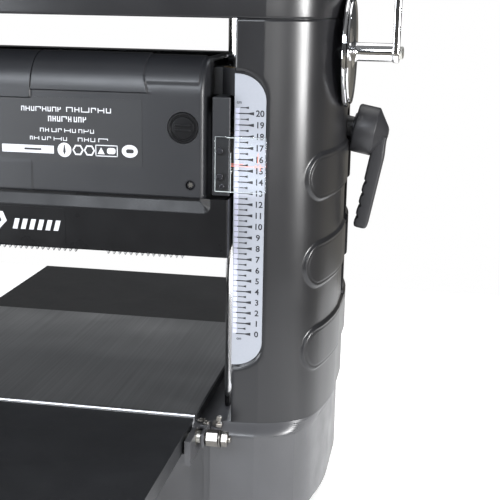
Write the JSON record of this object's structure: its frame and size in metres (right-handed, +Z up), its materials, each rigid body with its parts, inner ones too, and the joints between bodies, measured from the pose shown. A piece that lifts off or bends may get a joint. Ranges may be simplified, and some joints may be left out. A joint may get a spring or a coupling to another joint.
{
  "type": "thickness planer",
  "caption": "Benchtop thickness planer: two towers, a crank-raised cutter head over a steel bed, folding infeed and outfeed tables, a height scale and a side lock lever.",
  "frame": {"origin": "centre of the four bench bolt holes, on the bench that the feet stand on", "axes": "+X to the operator's right, +Y the way the board is fed, +Z up"},
  "size_m": [0.688, 0.692, 0.5643],
  "materials": {
    "tower_plastic": "semi-gloss moulded black",
    "base_paint": "satin black powder coat",
    "bed_steel": "ground sheet steel",
    "table_paint": "satin black enamel",
    "chrome": "hard chrome",
    "machined_steel": "turned steel",
    "cover_plastic": "fine-grained dark grey",
    "skirt_paint": "satin black sheet",
    "lever_plastic": "dark grey nylon",
    "cast_paint": "black casting",
    "scale_white": "printed plate",
    "clear_acrylic": "clear",
    "rubber": "matte",
    "brass": "machined",
    "red_plastic": "moulded",
    "green_plastic": "moulded",
    "aluminium": "cast",
    "zinc": "zinc plated",
    "lamination": "stacked sheet",
    "tool_steel": "ground edge"
  },
  "bodies": {
    "frame": {"base_casting": "base_paint", "base_cover": "zinc", "bed_plate": "bed_steel", "rubber_feet": "rubber", "guide_columns": "chrome", "tower_right": "tower_plastic", "tower_left": "tower_plastic", "top_frame": "base_paint", "top_cover": "tower_plastic", "scale_plate": "scale_white", "screw_bearing_blocks": "cast_paint", "sync_chain": "machined_steel", "switch_box": "cover_plastic", "cable_gland": "rubber", "hinge_pins": "zinc"},
    "start_button": {"start_button": "green_plastic"},
    "stop_button": {"stop_button": "red_plastic"},
    "crank": {"crank_shaft": "machined_steel", "crank_disc": "chrome", "crank_arm": "chrome"},
    "crank_grip": {"crank_grip": "lever_plastic"},
    "screw_right": {"lead_screw_right": "machined_steel", "screw_bevel_gear": "machined_steel"},
    "screw_left": {"lead_screw_left": "machined_steel"},
    "head": {"head_casting": "cast_paint", "column_bushes": "brass", "lift_nuts": "brass", "front_skirt": "skirt_paint", "motor_cover": "cover_plastic", "indicator_bracket": "cover_plastic", "indicator_plate": "clear_acrylic", "motor_housing": "aluminium", "stator_core": "lamination", "drive_belt": "rubber", "belt_cover": "base_paint", "brush_caps": "cover_plastic", "brush_holders": "brass", "cutter_bearings": "machined_steel", "feed_chain": "machined_steel", "gearbox_cover": "base_paint", "roller_blocks": "machined_steel", "roller_springs": "machined_steel", "pawl_rod": "machined_steel", "chip_deflector": "zinc", "dust_hood": "tower_plastic"},
    "cutterhead": {"cutterhead": "machined_steel", "knives": "tool_steel", "knife_clamps": "machined_steel"},
    "armature": {"armature": "machined_steel"},
    "feed_gear_first": {"feed_gear_first": "machined_steel"},
    "feed_gear_second": {"feed_gear_second": "machined_steel"},
    "feed_gear_third": {"feed_gear_third": "machined_steel"},
    "infeed_roller": {"infeed_roller": "rubber"},
    "outfeed_roller": {"outfeed_roller": "rubber"},
    "kickback_pawls": {"kickback_pawls": "tool_steel"},
    "lock_lever": {"lock_lever": "lever_plastic"},
    "infeed_table": {"infeed_table": "table_paint"},
    "outfeed_table": {"outfeed_table": "table_paint"},
    "return_roller_front": {"return_roller_front": "chrome"},
    "return_roller_rear": {"return_roller_rear": "chrome"}
  },
  "joints": [
    {"name": "crank_turn", "type": "hinge", "parent": "frame", "child": "crank", "pos_m": [0.328, -0.04, 0.44], "axis": [1, 0, 0], "range_deg": [-26820, 0]},
    {"name": "crank_grip_spin", "type": "hinge", "parent": "crank", "child": "crank_grip", "pos_m": [0.36, -0.04, 0.55], "axis": [1, 0, 0], "continuous": true},
    {"name": "screw_right_turn", "type": "hinge", "parent": "frame", "child": "screw_right", "pos_m": [0.24, -0.04, 0.2], "axis": [0, 0, 1], "range_deg": [-26820, 0]},
    {"name": "screw_left_turn", "type": "hinge", "parent": "frame", "child": "screw_left", "pos_m": [-0.24, -0.04, 0.2], "axis": [0, 0, 1], "range_deg": [-26820, 0]},
    {"name": "head_lift", "type": "slide", "parent": "frame", "child": "head", "axis": [0, 0, 1], "range_m": [-0.149, 0]},
    {"name": "cutterhead_spin", "type": "hinge", "parent": "head", "child": "cutterhead", "pos_m": [0, 0, 0.286], "axis": [1, 0, 0], "continuous": true},
    {"name": "armature_spin", "type": "hinge", "parent": "head", "child": "armature", "pos_m": [0, -0.095, 0.3775], "axis": [1, 0, 0], "continuous": true},
    {"name": "feed_gear_first_spin", "type": "hinge", "parent": "head", "child": "feed_gear_first", "pos_m": [0.176, 0.018, 0.31], "axis": [1, 0, 0], "continuous": true},
    {"name": "feed_gear_second_spin", "type": "hinge", "parent": "head", "child": "feed_gear_second", "pos_m": [0.182, -0.012, 0.31], "axis": [1, 0, 0], "continuous": true},
    {"name": "feed_gear_third_spin", "type": "hinge", "parent": "head", "child": "feed_gear_third", "pos_m": [0.187, 0.012, 0.31], "axis": [1, 0, 0], "continuous": true},
    {"name": "infeed_roller_spin", "type": "hinge", "parent": "head", "child": "infeed_roller", "pos_m": [0, -0.062, 0.276], "axis": [1, 0, 0], "continuous": true},
    {"name": "outfeed_roller_spin", "type": "hinge", "parent": "head", "child": "outfeed_roller", "pos_m": [0, 0.062, 0.276], "axis": [1, 0, 0], "continuous": true},
    {"name": "pawls_swing", "type": "hinge", "parent": "head", "child": "kickback_pawls", "pos_m": [0, -0.141, 0.285], "axis": [1, 0, 0], "range_deg": [0, 45]},
    {"name": "lock_lever_turn", "type": "hinge", "parent": "head", "child": "lock_lever", "pos_m": [0.2845, 0.016, 0.3649], "axis": [0.9816, 0, -0.1908], "range_deg": [0, 70]},
    {"name": "infeed_table_fold", "type": "hinge", "parent": "frame", "child": "infeed_table", "pos_m": [0, -0.164, 0.099], "axis": [-1, 0, 0], "range_deg": [0, 90]},
    {"name": "outfeed_table_fold", "type": "hinge", "parent": "frame", "child": "outfeed_table", "pos_m": [0, 0.164, 0.099], "axis": [1, 0, 0], "range_deg": [0, 90]},
    {"name": "start_press", "type": "slide", "parent": "frame", "child": "start_button", "axis": [0, 1, 0], "range_m": [0, 0.003], "stiffness_N_per_m": 500, "springref_m": -0.002},
    {"name": "stop_press", "type": "slide", "parent": "frame", "child": "stop_button", "axis": [0, 1, 0], "range_m": [0, 0.003], "stiffness_N_per_m": 500, "springref_m": -0.002},
    {"name": "return_roller_front_spin", "type": "hinge", "parent": "frame", "child": "return_roller_front", "pos_m": [0, -0.088, 0.524], "axis": [1, 0, 0], "continuous": true},
    {"name": "return_roller_rear_spin", "type": "hinge", "parent": "frame", "child": "return_roller_rear", "pos_m": [0, 0.088, 0.524], "axis": [1, 0, 0], "continuous": true}
  ],
  "couplings": [
    {"joint": "screw_right_turn", "follows": "crank_turn", "ratio": 1},
    {"joint": "screw_left_turn", "follows": "crank_turn", "ratio": 1},
    {"joint": "head_lift", "follows": "crank_turn", "m_per_rad": 0.00031831},
    {"joint": "armature_spin", "follows": "cutterhead_spin", "ratio": 2},
    {"joint": "feed_gear_first_spin", "follows": "cutterhead_spin", "ratio": -0.2},
    {"joint": "feed_gear_second_spin", "follows": "cutterhead_spin", "ratio": 0.05},
    {"joint": "feed_gear_third_spin", "follows": "cutterhead_spin", "ratio": -0.016667},
    {"joint": "infeed_roller_spin", "follows": "cutterhead_spin", "ratio": -0.0083333},
    {"joint": "outfeed_roller_spin", "follows": "cutterhead_spin", "ratio": -0.0083333}
  ]
}
